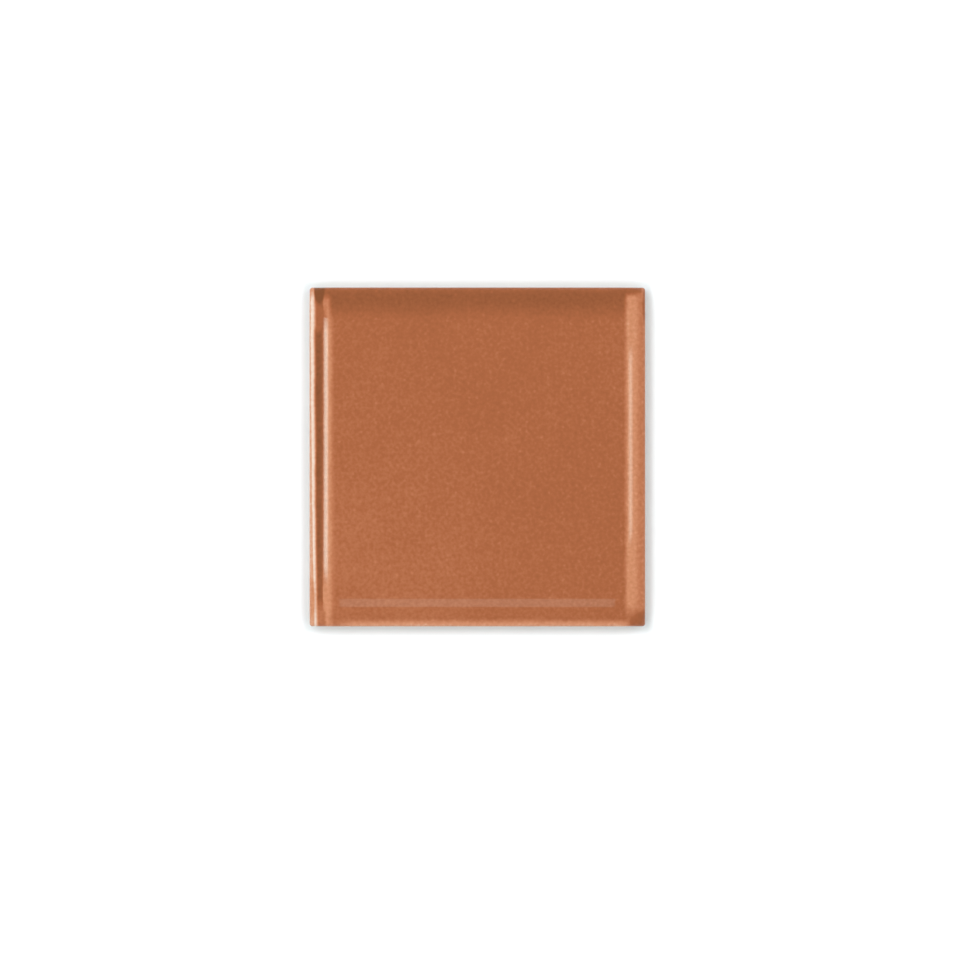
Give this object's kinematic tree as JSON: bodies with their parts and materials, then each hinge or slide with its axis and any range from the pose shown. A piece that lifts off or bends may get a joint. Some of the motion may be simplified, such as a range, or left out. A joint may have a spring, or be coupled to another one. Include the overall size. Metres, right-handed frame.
{
  "type": "glazed tile",
  "caption": "Square glazed ceramic wall tile with a glossy terracotta face, cushioned edges and a keyed back for bonding.",
  "frame": {"origin": "middle of the tile's back, on the plane of its ribs and border", "axes": "+Z out of the glazed face, +Y along the tile's slightly longer side, +X across it"},
  "size_m": [0.107, 0.108, 0.008],
  "materials": {
    "glaze": "gloss"
  },
  "bodies": {
    "root": {"tile": "glaze"}
  },
  "joints": []
}
